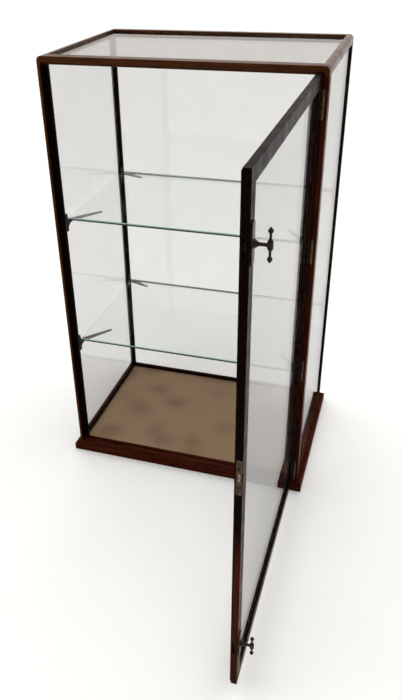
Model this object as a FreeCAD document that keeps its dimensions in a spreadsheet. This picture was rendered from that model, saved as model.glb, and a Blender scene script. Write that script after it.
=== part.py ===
import FreeCAD, Part
import os
import re
import Sketcher

# Counter-top display cabinet of polished mahogany and glass, standing with its door open at a
# right angle.  Millimetres; X to the right, Y to the back, Z up.  The origin is the centre of
# the frame's plan, on the underside of the base.
#
# Two plan frames are used, with their first corner at the low X, low Y corner, so that
# outlines have positive coordinates:
#   CASE  the fixed case, from the left front corner of the frame
#   DOOR  the open door, from its free edge; x runs from the inner face to the outer face and
#         y from the free edge to the hinge edge
# A third frame, AXIS, has its origin on the hinges' axis.

DOCUMENT = FreeCAD.newDocument("DisplayCabinet")

SIZES = [
    ("case_width", 545.0, "width over the posts"),
    ("case_depth", 365.0, "depth over the posts"),
    ("case_height", 930.0, "height over all"),
    ("base_height", 21.0, "height of the base moulding"),
    ("base_overhang", 11.0, "how far the base moulding stands out from the posts"),
    ("base_seat", 14.0, "width of the base moulding under the posts"),
    ("groove_inner", 3.3, "inner side of the moulding's first groove, out from the posts"),
    ("groove_outer", 4.0, "outer side of the first groove"),
    ("groove_floor", 1.6, "depth of the first groove"),
    ("reed_drop", 0.8, "drop from the moulding's top to its reed"),
    ("quirk_inner", 6.4, "inner side of the second groove"),
    ("quirk_outer", 7.2, "outer side of the second groove"),
    ("quirk_floor", 3.6, "depth of the second groove"),
    ("slope_start", 2.6, "drop at the top of the moulding's outer slope"),
    ("slope_end", 4.6, "drop at the outer arris"),
    ("overcut", 1.0, "how far a cutting block runs past what it cuts"),
    ("lining_thickness", 1.3, "felt on the floor"),
    ("lining_gap", 0.2, "gap round the felt"),
    ("lip_left", 6.5, "width of the lip beside the closed door's free edge"),
    ("lip_right", 7.6, "width of the lip beside the door's hinge edge"),
    ("lip_top", 10.0, "height of the lip over the closed door"),
    ("door_recess", 13.4, "depth of the rebate that the door shuts into"),
    ("stop_depth", 6.6, "thickness of the stop behind the door"),
    ("front_bead", 11.0, "width of the glazing beads behind the front posts"),
    ("front_core", 15.9, "width of the front post's stop"),
    ("right_core", 14.0, "width of the hinge post's stop"),
    ("back_core_width", 7.0, "width of the back post inside its lips"),
    ("back_core_depth", 9.5, "depth of the back post and of the back rails"),
    ("rail_core", 9.5, "width of the side rails"),
    ("sill_rise", 3.0, "how far the door sill stands over the base"),
    ("foot_rise", 5.0, "how far the other bottom rails stand over the base"),
    ("top_rail_depth", 17.0, "height of the top rails over their glazing lips"),
    ("glass_lip", 3.3, "thickness of the outer lip that each pane rests against"),
    ("lip_reach", 4.0, "how far that lip covers the pane's edge"),
    ("pane", 3.0, "thickness of the panes"),
    ("pane_gap", 0.1, "clearance of a pane in its rebate"),
    ("pane_bite", 3.5, "how far a pane reaches behind its lip"),
    ("bead", 3.0, "thickness of the glazing beads"),
    ("top_recess", 4.6, "how far the top pane lies under the rails"),
    ("top_round", 9.0, "radius along the left and right top edges"),
    ("small_round", 1.2, "softened arrises"),
    ("shelf_thickness", 5.5, "glass shelf"),
    ("shelf_inset", 21.0, "shelf edge from the outside of the frame"),
    ("upper_shelf", 606.0, "top of the upper shelf"),
    ("lower_shelf", 309.5, "top of the lower shelf"),
    ("door_thickness", 13.0, "stiles and rails of the door"),
    ("door_stile", 22.0, "face width of the stiles and rails of the door"),
    ("door_under", 1.0, "gap under the closed door"),
    ("door_gap", 0.7, "gap at the door's free edge and top"),
    ("door_rebate", 6.0, "width of the door's glazing rebate"),
    ("rebate_depth", 8.5, "depth of the door's glazing rebate"),
    ("door_step", 2.5, "depth of the step along the door's inner edge"),
    ("door_step_width", 4.0, "width of that step"),
    ("hinge_inset", 8.0, "hinge axis from the right side of the case"),
    ("hinge_proud", 3.4, "hinge axis in front of the case"),
    ("hinge_gap", 0.4, "hinge axis from the door's hinge edge and from the post's lip"),
    ("knuckle_radius", 3.0, "hinge knuckles"),
    ("knuckle_play", 0.15, "end play of each knuckle"),
    ("pin_cap", 1.4, "height of a hinge pin's cap"),
    ("pin_cap_radius", 2.25, "hinge pin's cap"),
    ("knuckle_bore", 1.35, "bore of the knuckles"),
    ("pin_radius", 1.3, "hinge pin"),
    ("leaf", 1.2, "thickness of the hinge leaves"),
    ("leaf_reach", 10.3, "how far a leaf reaches into the wood"),
    ("hinge_length", 48.0, "length of a hinge"),
    ("hinge_first", 54.8, "centre of the lowest hinge"),
    ("hinge_pitch", 271.0, "from one hinge to the next"),
    ("screw_head", 2.4, "radius of a countersunk screw head"),
    ("screw_shank", 1.1, "radius of its shank"),
    ("screw_length", 6.2, "length of a screw"),
    ("bracket_screw", 4.4, "length of a bracket's screw"),
    ("latch_inset", 11.0, "turn latch axis from the door's free edge"),
    ("latch_upper", 828.7, "height of the upper turn latch"),
    ("latch_lower", 118.8, "height of the lower turn latch"),
    ("plate_length", 57.0, "turn latch plate"),
    ("plate_width", 14.5, "turn latch plate"),
    ("plate_thickness", 2.0, "turn latch plate"),
    ("plate_screw", 22.0, "plate screw from the latch axis"),
    ("spindle_radius", 2.5, "turn latch spindle"),
    ("spindle_end", 2.0, "inner end of the spindle from the door's inner face"),
    ("spindle_fit", 0.05, "radial clearance of the spindle"),
    ("stem_reach", 19.2, "handle bar's axis from the plate's face"),
    ("stem_radius", 2.3, "handle stem"),
    ("collar_radius", 6.2, "foot of the handle stem"),
    ("handle_play", 0.3, "gap between a handle's foot and its plate"),
    ("bar_length", 44.5, "length of the handle bar"),
    ("barrel_length", 8.5, "thick middle of the handle bar"),
    ("barrel_radius", 3.7, "thick middle of the handle bar"),
    ("neck_radius", 1.6, "neck of the handle bar"),
    ("acorn_radius", 3.3, "acorns at the ends of the handle bar"),
    ("acorn_tip", 1.5, "radius of the point on each acorn"),
    ("plate_round", 0.8, "softened rim of the turn latch plate"),
    ("tongue_length", 15.0, "tongue from the latch axis"),
    ("tongue_width", 7.0, "tongue"),
    ("tongue_thickness", 3.0, "tongue"),
    ("tongue_start", 4.0, "tongue from the door's inner face"),
    ("slot_margin", 0.5, "room beside the tongue in its slot"),
    ("mortise_depth", 3.8, "depth of the pocket that a tongue swings into"),
    ("mortise_margin", 1.5, "room over the tongue in that pocket"),
    ("lock_height", 484.0, "centre of the lock"),
    ("lock_length", 62.5, "lock faceplate"),
    ("lock_width", 8.5, "lock faceplate"),
    ("lock_plate", 1.5, "thickness of the lock faceplate"),
    ("lock_centre", 7.75, "middle of the faceplate from the door's inner face"),
    ("lock_case_length", 54.0, "lock case in the stile"),
    ("lock_case_depth", 13.0, "lock case in the stile"),
    ("lock_case_thickness", 7.5, "lock case in the stile"),
    ("lock_wall", 1.0, "wall of the lock case"),
    ("lock_screw", 28.1, "faceplate screw from the lock's centre"),
    ("key_height", 482.0, "eye of the keyhole"),
    ("key_inset", 9.0, "keyhole from the door's free edge"),
    ("key_radius", 1.7, "eye of the keyhole"),
    ("key_slot", 0.95, "half width of the keyhole's leg"),
    ("key_drop", 5.8, "length of the keyhole's leg"),
    ("rim_drop", 4.4, "lower end of the keyhole's plate below the eye"),
    ("key_rim", 4.2, "half width of the keyhole's plate"),
    ("key_plate", 0.8, "thickness of the keyhole's plate"),
    ("bolt_length", 12.0, "lock bolt"),
    ("bolt_width", 12.6, "lock bolt"),
    ("bolt_thickness", 3.2, "lock bolt"),
    ("bolt_fit", 0.15, "clearance of the bolt"),
    ("strike_margin", 0.5, "room round the bolt in the post"),
    ("bolt_throw", 4.5, "travel of the lock bolt"),
    ("bracket_width", 7.0, "shelf bracket"),
    ("bracket_drop", 25.0, "shelf bracket below the shelf"),
    ("bracket_lug", 7.5, "shelf bracket above the shelf"),
    ("finger_width", 12.0, "width of the finger beside its gusset"),
    ("bracket_tip", 4.0, "width of the finger at its tip"),
    ("finger", 3.0, "thickness of the finger under the shelf"),
    ("gusset_radius", 16.0, "curve between a bracket's plate and its finger"),
    ("lug_radius", 2.8, "rounded corners of a bracket's lug"),
    ("front_reach", 86.0, "finger length at the front posts"),
    ("back_reach", 68.0, "finger length at the back posts"),
    ("front_heading", 52.0, "finger direction at the front posts, degrees off the width"),
    ("back_heading", 22.0, "finger direction at the back posts, degrees off the width"),
]

SHEET = DOCUMENT.addObject("Spreadsheet::Sheet", "Dimensions")
for row, (alias, value, meaning) in enumerate(SIZES, start=1):
    SHEET.set(f"A{row}", meaning)
    SHEET.set(f"B{row}", str(value))
    SHEET.setAlias(f"B{row}", alias)
DOCUMENT.recompute()
SIZE = {alias: float(SHEET.get(alias)) for alias, _value, _meaning in SIZES}
WORD = re.compile(r"[a-z][a-z_]+")
NEAR = 0.01

# Sizes that follow from the sheet, written as expressions on it.
DOOR_WIDTH = "(case_width - hinge_inset - hinge_gap - lip_left - door_gap)"
DOOR_TOP = "(case_height - lip_top - door_gap)"
DOOR_BOTTOM = "(base_height + door_under)"
CORE_FRONT = "(door_recess + stop_depth)"
RAIL_BOTTOM = "(case_height - top_rail_depth)"
RAIL_CORE_BOTTOM = "(case_height - top_rail_depth + lip_reach)"
FOOT_TOP = "(base_height + foot_rise)"
FOOT_LIP_TOP = "(base_height + foot_rise + lip_reach)"
BEAD_START = "(glass_lip + pane + 2 * pane_gap)"

CASE = ("-case_width / 2", "-case_depth / 2", "0")
DOOR = ("case_width / 2 - hinge_inset - hinge_proud - door_thickness",
        f"-case_depth / 2 - hinge_proud - hinge_gap - {DOOR_WIDTH}", "0")

AXIS = ("case_width / 2 - hinge_inset", "-case_depth / 2 - hinge_proud", "0")

# Ways to turn a piece that is made along Z, named by where its Z then points.
INTO_POST = FreeCAD.Rotation(FreeCAD.Vector(0, 1, 0), 90)
INTO_FACE = FreeCAD.Rotation(FreeCAD.Vector(0, 1, 0), -90)
INTO_DOOR = FreeCAD.Rotation(FreeCAD.Vector(1, 0, 0), 90)
INTO_EDGE = FreeCAD.Rotation(FreeCAD.Vector(1, 0, 0), -90)

NODES = []


def bind(obj, prop, text):
    """Bind a property to an expression in the sheet's words."""
    known = WORD.sub(lambda word: "Dimensions." + word[0] if word[0] in SIZE else word[0], text)
    obj.setExpression(prop, known)


def offset(obj, frame, start):
    """Place an object at a start point of a plan frame."""
    for axis, origin, step in zip("xyz", frame, start):
        bind(obj, f"Placement.Base.{axis}", f"{origin} + {step}")


def node(obj, label):
    """Make an object one of the cabinet's pieces."""
    obj.Label = label
    NODES.append(obj)
    return obj


def box(name, frame, x_span, y_span, z_span):
    """A block between pairs of expressions along X, Y and Z."""
    block = DOCUMENT.addObject("Part::Box", name)
    offset(block, frame, [span[0] for span in (x_span, y_span, z_span)])
    for prop, span in (("Length", x_span), ("Width", y_span), ("Height", z_span)):
        bind(block, prop, f"({span[1]}) - ({span[0]})")
    return block


def cylinder(name, frame, centre, radius, height, turn=None):
    """A cylinder on a centre, along Z unless it is turned."""
    rod = DOCUMENT.addObject("Part::Cylinder", name)
    if turn is not None:
        rod.Placement.Rotation = turn
    offset(rod, frame, centre)
    bind(rod, "Radius", radius)
    bind(rod, "Height", height)
    return rod


def cone(name, frame, centre, radii, height, turn=None):
    """A cone on a centre, along Z unless it is turned."""
    taper = DOCUMENT.addObject("Part::Cone", name)
    if turn is not None:
        taper.Placement.Rotation = turn
    offset(taper, frame, centre)
    bind(taper, "Radius1", radii[0])
    bind(taper, "Radius2", radii[1])
    bind(taper, "Height", height)
    return taper


def ball(name, frame, centre, radius):
    """A sphere on a centre."""
    globe = DOCUMENT.addObject("Part::Sphere", name)
    offset(globe, frame, centre)
    bind(globe, "Radius", radius)
    return globe


def fuse(name, pieces):
    joined = DOCUMENT.addObject("Part::MultiFuse", name)
    joined.Shapes = pieces
    return joined


def group(name, pieces):
    together = DOCUMENT.addObject("Part::Compound", name)
    together.Links = pieces
    return together


def cut(name, base, tools):
    tool = tools[0] if len(tools) == 1 else fuse(name + "_tools", tools)
    left = DOCUMENT.addObject("Part::Cut", name)
    left.Base = base
    left.Tool = tool
    return left


def common(name, base, tool):
    kept = DOCUMENT.addObject("Part::Common", name)
    kept.Base = base
    kept.Tool = tool
    return kept


def rounded(name, base, radius, wanted):
    """Fillet the edges of base whose middle point is wanted."""
    DOCUMENT.recompute()
    picks = []
    for number, edge in enumerate(base.Shape.Edges, start=1):
        middle = edge.valueAt((edge.FirstParameter + edge.LastParameter) / 2)
        if wanted(middle, edge):
            picks.append((number, SIZE[radius], SIZE[radius]))
    fillet = DOCUMENT.addObject("Part::Fillet", name)
    fillet.Base = base
    fillet.Edges = picks
    return fillet


ORIGIN_PLANES = {"XY": "XY_Plane", "XZ": "XZ_Plane", "YZ": "YZ_Plane"}


def prism(name, frame, plane, outline, start, end):
    """A PartDesign body: an outline of expression pairs, padded from start to end."""
    body = DOCUMENT.addObject("PartDesign::Body", name)
    offset(body, frame, ("0", "0", "0"))
    sketch = body.newObject("Sketcher::SketchObject", name + "_outline")
    role = ORIGIN_PLANES[plane]
    origin_plane = [item for item in body.Origin.OriginFeatures if item.Role == role][0]
    sketch.AttachmentSupport = [(origin_plane, "")]
    sketch.MapMode = "FlatFace"
    backwards = plane == "XZ"
    bind(sketch, "AttachmentOffset.Base.z", f"-({start})" if backwards else start)
    guess = [FreeCAD.Vector(*[value_of(text) for text in point], 0) for point in outline]
    count = len(outline)
    for index in range(count):
        line = Part.LineSegment(guess[index], guess[(index + 1) % count])
        sketch.addGeometry(line, False)
    for index in range(count):
        sketch.addConstraint(Sketcher.Constraint("Coincident", index, 2, (index + 1) % count, 1))
    for index, point in enumerate(outline):
        for kind, axis, text, near in (("DistanceX", -2, point[0], guess[index].x),
                                       ("DistanceY", -1, point[1], guess[index].y)):
            if text == "0":
                sketch.addConstraint(Sketcher.Constraint("PointOnObject", index, 1, axis))
            else:
                rule = sketch.addConstraint(Sketcher.Constraint(kind, -1, 1, index, 1, near))
                bind(sketch, f"Constraints[{rule}]", text)
    pad = body.newObject("PartDesign::Pad", name + "_pad")
    pad.Profile = sketch
    pad.Reversed = backwards
    bind(pad, "Length", f"({end}) - ({start})")
    body.Tip = pad
    return body


PROBE = DOCUMENT.addObject("App::FeaturePython", "Probe")
PROBE.addProperty("App::PropertyFloat", "Reading")


def value_of(text):
    """The number that an expression on the sheet stands for."""
    bind(PROBE, "Reading", text)
    PROBE.recompute()
    return PROBE.Reading


def side_span(side, low, high):
    """A span counted from the left side, or its mirror image on the right."""
    if side == "left":
        return (low, high)
    return (f"case_width - ({high})", f"case_width - ({low})")


# ---------------------------------------------------------------- base

MOULDING = [
    ("-base_overhang", "0"),
    ("base_seat", "0"),
    ("base_seat", "base_height"),
    ("-groove_inner", "base_height"),
    ("-groove_inner", "base_height - groove_floor"),
    ("-groove_outer", "base_height - groove_floor"),
    ("-groove_outer", "base_height - reed_drop"),
    ("-quirk_inner", "base_height - reed_drop"),
    ("-quirk_inner", "base_height - quirk_floor"),
    ("-quirk_outer", "base_height - quirk_floor"),
    ("-quirk_outer", "base_height - slope_start"),
    ("-base_overhang", "base_height - slope_end"),
]


def moulding_strip(name, plane, outline, span, corner):
    """One side of the base moulding: its profile cut to mitres by a four-sided block."""
    strip = prism(name + "_strip", CASE, plane, outline, span[0], span[1])
    mitre = prism(name + "_mitre", CASE, "XY", corner, "-overcut",
                  "base_height + overcut")
    return node(common(name, strip, mitre), name)


def build_base():
    seat = ("base_seat", "case_width - base_seat"), ("base_seat", "case_depth - base_seat")
    node(box("base_board", CASE, seat[0], seat[1], ("0", "base_height")), "base_board")
    lower = "-base_overhang"
    right = "case_width + base_overhang"
    back = "case_depth + base_overhang"
    inner = "base_seat"
    inner_right = "case_width - base_seat"
    inner_back = "case_depth - base_seat"
    front_corners = [(lower, lower), (right, lower), (inner_right, inner), (inner, inner)]
    back_corners = [(inner, inner_back), (inner_right, inner_back), (right, back), (lower, back)]
    left_corners = [(lower, lower), (inner, inner), (inner, inner_back), (lower, back)]
    right_corners = [(right, lower), (right, back), (inner_right, inner_back),
                     (inner_right, inner)]
    far_x = [(f"case_width - ({across})", up) for across, up in MOULDING]
    far_y = [(f"case_depth - ({across})", up) for across, up in MOULDING]
    moulding_strip("base_moulding_front", "YZ", MOULDING, (lower, right), front_corners)
    moulding_strip("base_moulding_back", "YZ", far_y, (lower, right), back_corners)
    moulding_strip("base_moulding_left", "XZ", MOULDING, (lower, back), left_corners)
    moulding_strip("base_moulding_right", "XZ", far_x, (lower, back), right_corners)
    node(box("floor_lining", CASE,
             ("rail_core + lining_gap", "case_width - rail_core - lining_gap"),
             (f"{CORE_FRONT} + lining_gap", "case_depth - back_core_depth - lining_gap"),
             ("base_height", "base_height + lining_thickness")), "floor_lining")


# ---------------------------------------------------------------- case frame

FULL_WIDTH = ("0", "case_width")
BETWEEN_RAILS = (CORE_FRONT, "case_depth - back_core_depth")
BACK_CORE = ("case_depth - back_core_depth", "case_depth")
POST_Z = ("base_height", RAIL_BOTTOM)
LIP_Z = (FOOT_LIP_TOP, RAIL_BOTTOM)


def latch_mortise(height):
    """The pocket in the left post that a turn latch's tongue swings into."""
    lowest = f"{height} - tongue_length + tongue_start"
    return box("mortise", CASE, ("lip_left - mortise_depth", "lip_left + overcut"),
               ("door_thickness - tongue_start - tongue_thickness - slot_margin",
                "door_thickness - tongue_start + slot_margin"),
               (lowest, f"{height} + tongue_width / 2 + mortise_margin"))


def bolt_mortise():
    """The pocket in the left post that the lock's bolt slides into."""
    centre = "door_thickness - lock_centre"
    return box("mortise", CASE, ("lip_left - bolt_throw + strike_margin / 2", "lip_left + overcut"),
               (f"{centre} - bolt_thickness / 2 - strike_margin",
                f"{centre} + bolt_thickness / 2 + strike_margin"),
               ("lock_height - bolt_width / 2 - strike_margin",
                "lock_height + bolt_width / 2 + strike_margin"))


def build_front_posts():
    outline = [("0", "0"), ("lip_left", "0"), ("lip_left", "door_recess"),
               ("front_core", "door_recess"), ("front_core", CORE_FRONT), ("0", CORE_FRONT)]
    core = prism("front_left_core", CASE, "XY", outline, *POST_Z)
    lip = box("front_left_lip", CASE, ("0", "glass_lip"),
              (CORE_FRONT, f"{CORE_FRONT} + lip_reach"), LIP_Z)
    pockets = [latch_mortise("latch_upper"), latch_mortise("latch_lower"), bolt_mortise()]
    post = fuse("front_left_blank", [core, lip])
    node(cut("front_left_post", post, pockets), "front_left_post")

    outline = [("case_width - right_core", "door_recess"),
               ("case_width - lip_right", "door_recess"),
               ("case_width - lip_right", "0"), ("case_width", "0"),
               ("case_width", CORE_FRONT), ("case_width - right_core", CORE_FRONT)]
    core = prism("front_right_core", CASE, "XY", outline, *POST_Z)
    lip = box("front_right_lip", CASE, side_span("right", "0", "glass_lip"),
              (CORE_FRONT, f"{CORE_FRONT} + lip_reach"), LIP_Z)
    post = fuse("front_right_blank", [core, lip])
    beds = [box("leaf_bed", AXIS, ("hinge_gap - overcut", "hinge_gap + leaf"),
                ("0", "hinge_proud + leaf_reach"), hinge_span(centre))
            for centre in HINGE_CENTRES]
    node(cut("front_right_post", post, beds), "front_right_post")


def build_back_posts():
    for side in ("left", "right"):
        name = f"back_{side}_post"
        side_lip_y = ("case_depth - back_core_depth - lip_reach", BACK_CORE[0])
        pieces = [
            box(name + "_core", CASE, side_span(side, "0", "back_core_width"), BACK_CORE,
                ("base_height", RAIL_CORE_BOTTOM)),
            box(name + "_side_lip", CASE, side_span(side, "0", "glass_lip"), side_lip_y, LIP_Z),
            box(name + "_back_lip", CASE,
                side_span(side, "back_core_width", "back_core_width + lip_reach"),
                ("case_depth - glass_lip", "case_depth"), LIP_Z)]
        node(fuse(name, pieces), name)


def build_top_rails():
    """The front and back rails run over the posts; the side rails fit between them."""
    top_lip_z = ("case_height - top_recess", "case_height")
    between = ("rail_core + lip_reach", "case_width - rail_core - lip_reach")
    front = fuse("top_rail_front_blank", [
        box("top_front_core", CASE, FULL_WIDTH, ("0", CORE_FRONT), (RAIL_BOTTOM, "case_height")),
        box("top_front_lip", CASE, between, (CORE_FRONT, f"{CORE_FRONT} + lip_reach"),
            top_lip_z)])
    doorway = box("top_doorway", CASE, ("lip_left", "case_width - lip_right"),
                  ("-overcut", "door_recess"), (RAIL_BOTTOM, "case_height - lip_top"))
    front = cut("top_rail_front_cut", front, [doorway])
    node(rounded("top_rail_front", front, "top_round", is_top_end), "top_rail_front")

    back = fuse("top_rail_back_blank", [
        box("top_back_core", CASE, FULL_WIDTH, BACK_CORE, (RAIL_CORE_BOTTOM, "case_height")),
        box("top_back_inner_lip", CASE, between,
            ("case_depth - back_core_depth - lip_reach", BACK_CORE[0]), top_lip_z),
        box("top_back_outer_lip", CASE, ("back_core_width", "case_width - back_core_width"),
            ("case_depth - glass_lip", "case_depth"), (RAIL_BOTTOM, RAIL_CORE_BOTTOM))])
    node(rounded("top_rail_back", back, "top_round", is_top_end), "top_rail_back")

    across = ["0", "glass_lip", "glass_lip", "rail_core", "rail_core",
              "rail_core + lip_reach", "rail_core + lip_reach", "0"]
    up = [RAIL_BOTTOM, RAIL_BOTTOM, RAIL_CORE_BOTTOM, RAIL_CORE_BOTTOM,
          "case_height - top_recess", "case_height - top_recess", "case_height", "case_height"]
    for side in ("left", "right"):
        name = f"top_rail_{side}"
        if side == "left":
            outline = list(zip(across, up))
        else:
            outline = [(f"case_width - ({step})", height) for step, height in zip(across, up)]
        rail = prism(name + "_blank", CASE, "XZ", outline, *BETWEEN_RAILS)
        node(rounded(name, rail, "top_round", is_top_end), name)


def is_top_end(middle, edge):
    """An edge along Y at the top of the left or right side of the case."""
    at_top = abs(middle.z - SIZE["case_height"]) < NEAR
    at_side = abs(abs(middle.x) - SIZE["case_width"] / 2) < NEAR
    return at_top and at_side


def build_bottom_rails():
    node(box("bottom_rail_front", CASE, ("front_core", "case_width - right_core"),
             ("door_recess", CORE_FRONT), ("base_height", "base_height + sill_rise")),
         "bottom_rail_front")
    across = ["0", "rail_core", "rail_core", "glass_lip", "glass_lip", "0"]
    up = ["base_height", "base_height", FOOT_TOP, FOOT_TOP, FOOT_LIP_TOP, FOOT_LIP_TOP]
    left = list(zip(across, up))
    right = [(f"case_width - ({step})", height) for step, height in left]
    node(prism("bottom_rail_left", CASE, "XZ", left, *BETWEEN_RAILS), "bottom_rail_left")
    node(prism("bottom_rail_right", CASE, "XZ", right, *BETWEEN_RAILS), "bottom_rail_right")
    back = [(f"case_depth - ({step})".replace("rail_core", "back_core_depth"), height)
            for step, height in left]
    node(prism("bottom_rail_back", CASE, "YZ", back, "back_core_width",
               "case_width - back_core_width"), "bottom_rail_back")


# ---------------------------------------------------------------- glass and glazing beads

EDGE = "lip_reach - pane_bite"
PANE_Z = (f"{FOOT_TOP} + {EDGE}", f"{RAIL_CORE_BOTTOM} - ({EDGE})")
PANE_Y = (f"{CORE_FRONT} + {EDGE}", f"case_depth - back_core_depth - ({EDGE})")
PANE_DEEP = ("glass_lip + pane_gap", "glass_lip + pane_gap + pane")
BEAD_DEEP = (BEAD_START, f"{BEAD_START} + bead")


def bead(name, frame, x_span, y_span, z_span, towards):
    """A glazing bead, rounded along its one free arris."""
    strip = box(name + "_strip", frame, x_span, y_span, z_span)
    DOCUMENT.recompute()
    reach = FreeCAD.Vector(*towards)
    furthest = max(edge.CenterOfMass.dot(reach) for edge in strip.Shape.Edges)
    return rounded(name, strip, "small_round",
                   lambda middle, edge: abs(middle.dot(reach) - furthest) < NEAR)


def from_far(span, far):
    """A span counted back from the far side."""
    return (f"{far} - ({span[1]})", f"{far} - ({span[0]})")


def build_case_glass():
    low_z = (FOOT_TOP, FOOT_LIP_TOP)
    high_z = (RAIL_BOTTOM, RAIL_CORE_BOTTOM)
    front_y = (CORE_FRONT, f"{CORE_FRONT} + lip_reach")
    post_y = (CORE_FRONT, f"{CORE_FRONT} + front_bead")
    back_y = ("case_depth - back_core_depth - lip_reach", "case_depth - back_core_depth")
    for side, inward in (("left", 1), ("right", -1)):
        node(box(f"{side}_glass", CASE, side_span(side, *PANE_DEEP), PANE_Y, PANE_Z),
             f"{side}_glass")
        deep = side_span(side, *BEAD_DEEP)
        node(group(f"{side}_glazing_beads", [
            bead("bead", CASE, deep, post_y, LIP_Z, (inward, 1, 0)),
            bead("bead", CASE, deep, back_y, LIP_Z, (inward, -1, 0)),
            bead("bead", CASE, deep, BETWEEN_RAILS, low_z, (inward, 0, 1)),
            bead("bead", CASE, deep, BETWEEN_RAILS, high_z, (inward, 0, -1))]),
            f"{side}_glazing_beads")

    inner_x = ("back_core_width", "case_width - back_core_width")
    pane_x = (f"back_core_width + {EDGE}", f"case_width - back_core_width - ({EDGE})")
    node(box("back_glass", CASE, pane_x, from_far(PANE_DEEP, "case_depth"), PANE_Z), "back_glass")
    deep = from_far(BEAD_DEEP, "case_depth")
    left_x = ("back_core_width", "back_core_width + lip_reach")
    node(group("back_glazing_beads", [
        bead("bead", CASE, left_x, deep, LIP_Z, (1, -1, 0)),
        bead("bead", CASE, from_far(left_x, "case_width"), deep, LIP_Z, (-1, -1, 0)),
        bead("bead", CASE, inner_x, deep, low_z, (0, -1, 1)),
        bead("bead", CASE, inner_x, deep, high_z, (0, -1, -1))]), "back_glazing_beads")

    pane_top = "case_height - top_recess - pane_gap"
    node(box("top_glass", CASE, (f"rail_core + {EDGE}", f"case_width - rail_core - ({EDGE})"),
             PANE_Y, (f"{pane_top} - pane", pane_top)), "top_glass")
    under = (f"{pane_top} - pane - pane_gap - bead", f"{pane_top} - pane - pane_gap")
    rail_x = ("rail_core", "case_width - rail_core")
    side_x = ("rail_core", "rail_core + lip_reach")
    middle_y = (f"{CORE_FRONT} + lip_reach", "case_depth - back_core_depth - lip_reach")
    node(group("top_glazing_beads", [
        bead("bead", CASE, rail_x, front_y, under, (0, 1, -1)),
        bead("bead", CASE, rail_x, back_y, under, (0, -1, -1)),
        bead("bead", CASE, side_x, middle_y, under, (1, 0, -1)),
        bead("bead", CASE, from_far(side_x, "case_width"), middle_y, under, (-1, 0, -1))]),
        "top_glazing_beads")


def build_shelves():
    for level in ("upper", "lower"):
        top = f"{level}_shelf"
        plan_x = ("shelf_inset", "case_width - shelf_inset")
        plan_y = ("shelf_inset", "case_depth - shelf_inset")
        node(box(f"{level}_shelf_glass", CASE, plan_x, plan_y,
                 (f"{top} - shelf_thickness", top)), f"{level}_shelf_glass")


# ---------------------------------------------------------------- shelf brackets

def bracket(name, corner, side, under):
    """A cast bracket: a lug and gusset on the post's arris, and a finger under the shelf."""
    if corner == "front":
        arris_x = "front_core" if side == "left" else "right_core"
        arris_y, heading, reach = CORE_FRONT, SIZE["front_heading"], "front_reach"
    else:
        arris_x = f"({BEAD_START} + bead)"
        arris_y = "(case_depth - back_core_depth - lip_reach)"
        heading, reach = -SIZE["back_heading"], "back_reach"
    if side == "right":
        arris_x = f"(case_width - {arris_x})"
        heading = 180 - heading
    seat = (f"{CASE[0]} + {arris_x}", f"{CASE[1]} + {arris_y}", under)
    half, blade = "bracket_width / 2", "finger_width / 2"
    side_view = [("-bracket_width / 2", "-bracket_drop"), ("finger", "-bracket_drop"),
                 ("finger", "-finger"), (reach, "-finger"), (reach, "0"), ("finger", "0"),
                 ("finger", "shelf_thickness + bracket_lug"),
                 ("-bracket_width / 2", "shelf_thickness + bracket_lug")]
    plan_view = [(f"-{half}", f"-{half}"), ("finger", f"-{half}"),
                 ("2 * bracket_width", f"-{blade}"), (reach, "-bracket_tip / 2"),
                 (reach, "bracket_tip / 2"), ("2 * bracket_width", blade),
                 ("finger", half), (f"-{half}", half)]
    upright = prism(name + "_side", seat, "XZ", side_view, f"-{blade}", blade)
    plan = prism(name + "_plan", seat, "XY", plan_view, "-bracket_drop - overcut", "bracket_drop")
    turn = FreeCAD.Rotation(FreeCAD.Vector(0, 0, 1), heading)
    for body in (upright, plan):
        body.Placement.Rotation = turn
    blank = common(name + "_blank", upright, plan)
    DOCUMENT.recompute()
    seat_point = upright.Placement.Base
    along = turn.multVec(FreeCAD.Vector(1, 0, 0))

    def is_gusset(middle, edge):
        step = middle - seat_point
        return (abs(step.dot(along) - SIZE["finger"]) < NEAR
                and abs(step.z + SIZE["finger"]) < NEAR)

    def is_lug(middle, edge):
        step = middle - seat_point
        level = abs(step.z - SIZE["shelf_thickness"] - SIZE["bracket_lug"]) < NEAR
        across = abs(edge.tangentAt(edge.FirstParameter).dot(along)) > 0.99
        return level and across

    curved = rounded(name + "_gusset", blank, "gusset_radius", is_gusset)
    curved = rounded(name + "_lug", curved, "lug_radius", is_lug)
    screw_point = ("finger", "0", "shelf_thickness + bracket_lug / 2")
    screw = bracket_screw(name + "_screw", seat, turn, screw_point)
    return post_seat(name, curved, corner, side, screw), screw


def bracket_screw(name, seat, turn, point):
    """A countersunk screw through a bracket's lug, into the post's arris."""
    back = turn.multiply(FreeCAD.Rotation(FreeCAD.Vector(0, 1, 0), -90))
    start = turn.multVec(FreeCAD.Vector(SIZE["finger"], 0, 0))
    place = (str(start.x), str(start.y), point[2])
    return screw_at(name, seat, place, back, "bracket_screw")


def post_seat(name, blank, corner, side, screw):
    """Notch a bracket over the wood that it is fixed to, and sink its screw."""
    if corner == "front":
        core = "front_core" if side == "left" else "right_core"
        blocks = [(side_span(side, "0", core), ("0", CORE_FRONT)),
                  (side_span(side, "0", f"{BEAD_START} + bead"),
                   ("0", f"{CORE_FRONT} + front_bead"))]
    else:
        blocks = [(side_span(side, "0", f"{BEAD_START} + bead"),
                   ("case_depth - 2 * shelf_inset", "case_depth")),
                  (side_span(side, "0", "back_core_width + lip_reach"), BACK_CORE)]
    tools = [box(name + "_notch", CASE, x_span, y_span, ("base_height", "case_height"))
             for x_span, y_span in blocks]
    return cut(name, blank, tools + [screw])


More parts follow.
